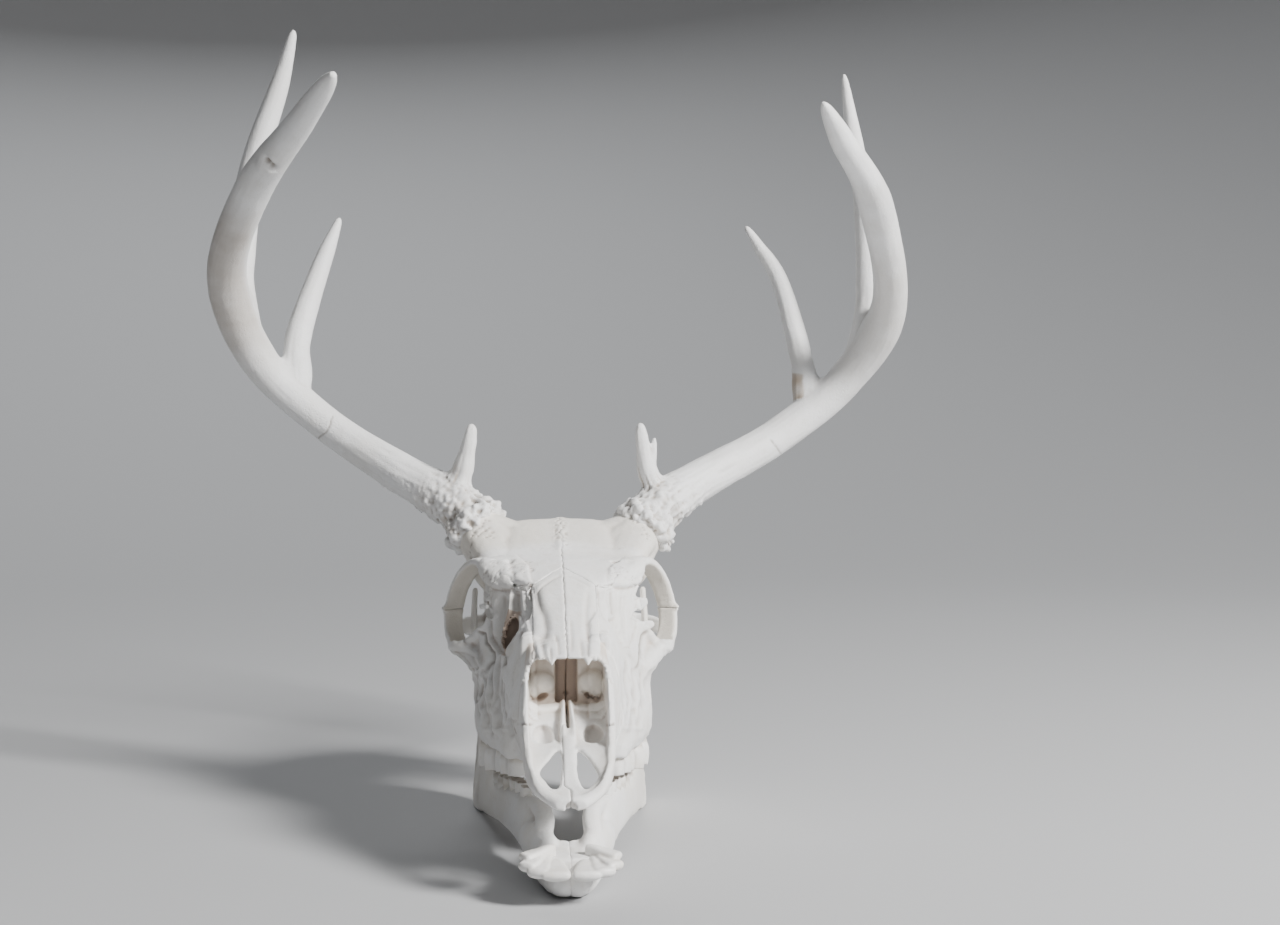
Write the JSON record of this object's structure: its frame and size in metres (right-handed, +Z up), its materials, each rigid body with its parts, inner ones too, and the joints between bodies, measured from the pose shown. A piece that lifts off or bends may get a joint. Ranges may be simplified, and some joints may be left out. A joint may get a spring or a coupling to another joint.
{
  "type": "deer skull",
  "caption": "Skull of a deer buck with its lower jaw and branched antlers, a still life-size piece that rests on the chin and jaw angles.",
  "frame": {"origin": "on the floor under the middle of the whole skull, antlers included; the floor passes under the chin and the two angles of the jaw", "axes": "+Z up; the nose points to -Y; +X to the animal's left"},
  "size_m": [0.3626, 0.2994, 0.4014],
  "materials": {
    "antler_left_base": "matt bleached antler, rough at the burr and smoother to the tips",
    "antler_left_lower_beam": "matt bleached antler, rough at the burr and smoother to the tips",
    "antler_left_middle_beam": "matt bleached antler, rough at the burr and smoother to the tips",
    "antler_left_upper_beam": "matt bleached antler, rough at the burr and smoother to the tips",
    "antler_left_brow_tine": "matt bleached antler, rough at the burr and smoother to the tips",
    "antler_left_second_tine": "matt bleached antler, rough at the burr and smoother to the tips",
    "antler_left_third_tine": "matt bleached antler, rough at the burr and smoother to the tips",
    "antler_right_base": "matt bleached antler, rough at the burr and smoother to the tips",
    "antler_right_lower_beam": "matt bleached antler, rough at the burr and smoother to the tips",
    "antler_right_middle_beam": "matt bleached antler, rough at the burr and smoother to the tips",
    "antler_right_upper_beam": "matt bleached antler, rough at the burr and smoother to the tips",
    "antler_right_brow_tine": "matt bleached antler, rough at the burr and smoother to the tips",
    "antler_right_second_tine": "matt bleached antler, rough at the burr and smoother to the tips",
    "antler_right_third_tine": "matt bleached antler, rough at the burr and smoother to the tips",
    "braincase": "matt bleached bone with fine pits and cracks",
    "frontal_left": "matt bleached bone with fine pits and cracks",
    "frontal_right": "matt bleached bone with fine pits and cracks",
    "nasal_left": "matt bleached bone with fine pits and cracks",
    "nasal_right": "matt bleached bone with fine pits and cracks",
    "maxilla_left": "matt bleached bone with fine pits and cracks",
    "maxilla_right": "matt bleached bone with fine pits and cracks",
    "premaxilla_left": "matt bleached bone with fine pits and cracks",
    "premaxilla_right": "matt bleached bone with fine pits and cracks",
    "zygomatic_left": "matt bleached bone with fine pits and cracks",
    "zygomatic_right": "matt bleached bone with fine pits and cracks",
    "mandible_left": "matt bleached bone with fine pits and cracks",
    "mandible_right": "matt bleached bone with fine pits and cracks"
  },
  "bodies": {
    "root": {"antler_left_base": "antler_left_base", "antler_left_lower_beam": "antler_left_lower_beam", "antler_left_middle_beam": "antler_left_middle_beam", "antler_left_upper_beam": "antler_left_upper_beam", "antler_left_brow_tine": "antler_left_brow_tine", "antler_left_second_tine": "antler_left_second_tine", "antler_left_third_tine": "antler_left_third_tine", "antler_right_base": "antler_right_base", "antler_right_lower_beam": "antler_right_lower_beam", "antler_right_middle_beam": "antler_right_middle_beam", "antler_right_upper_beam": "antler_right_upper_beam", "antler_right_brow_tine": "antler_right_brow_tine", "antler_right_second_tine": "antler_right_second_tine", "antler_right_third_tine": "antler_right_third_tine", "braincase": "braincase", "frontal_left": "frontal_left", "frontal_right": "frontal_right", "nasal_left": "nasal_left", "nasal_right": "nasal_right", "maxilla_left": "maxilla_left", "maxilla_right": "maxilla_right", "premaxilla_left": "premaxilla_left", "premaxilla_right": "premaxilla_right", "zygomatic_left": "zygomatic_left", "zygomatic_right": "zygomatic_right", "mandible_left": "mandible_left", "mandible_right": "mandible_right"}
  },
  "joints": []
}
